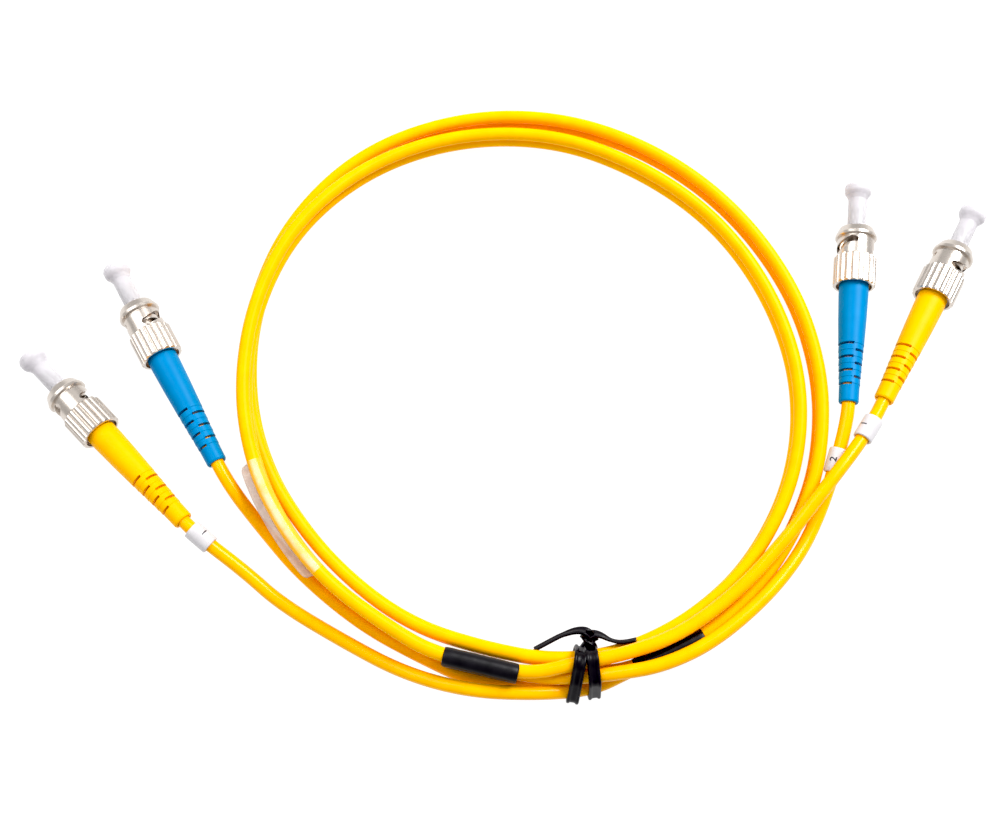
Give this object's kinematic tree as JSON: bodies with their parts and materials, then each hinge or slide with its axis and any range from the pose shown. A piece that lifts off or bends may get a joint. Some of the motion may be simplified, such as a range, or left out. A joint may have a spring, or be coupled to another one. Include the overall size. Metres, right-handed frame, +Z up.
{
  "type": "duplex st fibre patch cord",
  "caption": "Coiled and tied duplex fibre patch cord with bayonet ST connectors, dust caps, strain-relief boots and marker rings at both ends.",
  "frame": {"origin": "on the supporting surface, below the middle of the box round the connectors", "axes": "+Z up off the surface, +X from end a's connectors to end b's, +Y from the tie towards the connectors' caps"},
  "size_m": [0.2194, 0.1361, 0.0128],
  "materials": {
    "ceramic": "polished white ceramic",
    "nickel": "bright nickel plating",
    "spring_steel": "bright steel",
    "crimp_metal": "satin",
    "boot_yellow": "smooth matt elastomer",
    "boot_blue": "smooth matt elastomer",
    "clear_cap": "milky translucent",
    "buffer": "matt",
    "yellow_jacket": "satin PVC",
    "white_marker": "satin",
    "black_sleeve": "matt shrink tube",
    "black_tie": "satin ribbed",
    "clear_film": "clear film"
  },
  "bodies": {
    "cord": {"boot_a1": "boot_yellow", "boot_a2": "boot_blue", "boot_b1": "boot_yellow", "boot_b2": "boot_blue", "cord_tie": "black_tie", "crimp_sleeve_a1": "crimp_metal", "crimp_sleeve_a2": "crimp_metal", "crimp_sleeve_b1": "crimp_metal", "crimp_sleeve_b2": "crimp_metal", "duplex_cord": "yellow_jacket", "ferrule_a1": "ceramic", "ferrule_a2": "ceramic", "ferrule_b1": "ceramic", "ferrule_b2": "ceramic", "fibre_a1": "buffer", "fibre_a2": "buffer", "fibre_b1": "buffer", "fibre_b2": "buffer", "label_film": "clear_film", "leg_a1": "yellow_jacket", "leg_a2": "yellow_jacket", "leg_b1": "yellow_jacket", "leg_b2": "yellow_jacket", "marker_a1": "white_marker", "marker_b1": "white_marker", "marker_b2": "white_marker", "plug_body_a1": "nickel", "plug_body_a2": "nickel", "plug_body_b1": "nickel", "plug_body_b2": "nickel", "retaining_clip_a1": "spring_steel", "retaining_clip_a2": "spring_steel", "retaining_clip_b1": "spring_steel", "retaining_clip_b2": "spring_steel", "split_sleeve_a": "black_sleeve", "split_sleeve_b": "black_sleeve", "spring_a1": "spring_steel", "spring_a2": "spring_steel", "spring_b1": "spring_steel", "spring_b2": "spring_steel"},
    "washer_a1": {"thrust_washer_a1": "spring_steel"},
    "nut_a1": {"coupling_nut_a1": "nickel"},
    "cap_a1": {"dust_cap_a1": "clear_cap"},
    "washer_a2": {"thrust_washer_a2": "spring_steel"},
    "nut_a2": {"coupling_nut_a2": "nickel"},
    "cap_a2": {"dust_cap_a2": "clear_cap"},
    "washer_b1": {"thrust_washer_b1": "spring_steel"},
    "nut_b1": {"coupling_nut_b1": "nickel"},
    "cap_b1": {"dust_cap_b1": "clear_cap"},
    "washer_b2": {"thrust_washer_b2": "spring_steel"},
    "nut_b2": {"coupling_nut_b2": "nickel"},
    "cap_b2": {"dust_cap_b2": "clear_cap"}
  },
  "joints": [
    {"name": "nut_slide_a1", "type": "slide", "parent": "cord", "child": "washer_a1", "axis": [-0.7041, 0.709, -0.0401], "range_m": [0, 0.0025], "stiffness_N_per_m": 500, "springref_m": -0.002, "deforming": ["spring_a1"]},
    {"name": "nut_turn_a1", "type": "hinge", "parent": "washer_a1", "child": "nut_a1", "pos_m": [-0.0998, -0.0093, 0.00451], "axis": [-0.7041, 0.709, -0.0401], "continuous": true},
    {"name": "cap_pull_a1", "type": "slide", "parent": "cord", "child": "cap_a1", "axis": [-0.7041, 0.709, -0.0401], "range_m": [0, 0.014]},
    {"name": "nut_slide_a2", "type": "slide", "parent": "cord", "child": "washer_a2", "axis": [-0.4975, 0.8665, -0.0401], "range_m": [0, 0.0025], "stiffness_N_per_m": 500, "springref_m": -0.002, "deforming": ["spring_a2"]},
    {"name": "nut_turn_a2", "type": "hinge", "parent": "washer_a2", "child": "nut_a2", "pos_m": [-0.08471, 0.01011, 0.00451], "axis": [-0.4975, 0.8665, -0.0401], "continuous": true},
    {"name": "cap_pull_a2", "type": "slide", "parent": "cord", "child": "cap_a2", "axis": [-0.4975, 0.8665, -0.0401], "range_m": [0, 0.014]},
    {"name": "nut_slide_b1", "type": "slide", "parent": "cord", "child": "washer_b1", "axis": [0.4841, 0.8722, -0.0698], "range_m": [0, 0.0025], "stiffness_N_per_m": 500, "springref_m": -0.002, "deforming": ["spring_b1"]},
    {"name": "nut_turn_b1", "type": "hinge", "parent": "washer_b1", "child": "nut_b1", "pos_m": [0.1018, 0.02405, 0.00445], "axis": [0.4841, 0.8722, -0.0698], "continuous": true},
    {"name": "cap_pull_b1", "type": "slide", "parent": "cord", "child": "cap_b1", "axis": [0.4841, 0.8722, -0.0698], "range_m": [0, 0.014]},
    {"name": "nut_slide_b2", "type": "slide", "parent": "cord", "child": "washer_b2", "axis": [0.1233, 0.9916, -0.0401], "range_m": [0, 0.0025], "stiffness_N_per_m": 500, "springref_m": -0.002, "deforming": ["spring_b2"]},
    {"name": "nut_turn_b2", "type": "hinge", "parent": "washer_b2", "child": "nut_b2", "pos_m": [0.07935, 0.02874, 0.00451], "axis": [0.1233, 0.9916, -0.0401], "continuous": true},
    {"name": "cap_pull_b2", "type": "slide", "parent": "cord", "child": "cap_b2", "axis": [0.1233, 0.9916, -0.0401], "range_m": [0, 0.014]}
  ]
}
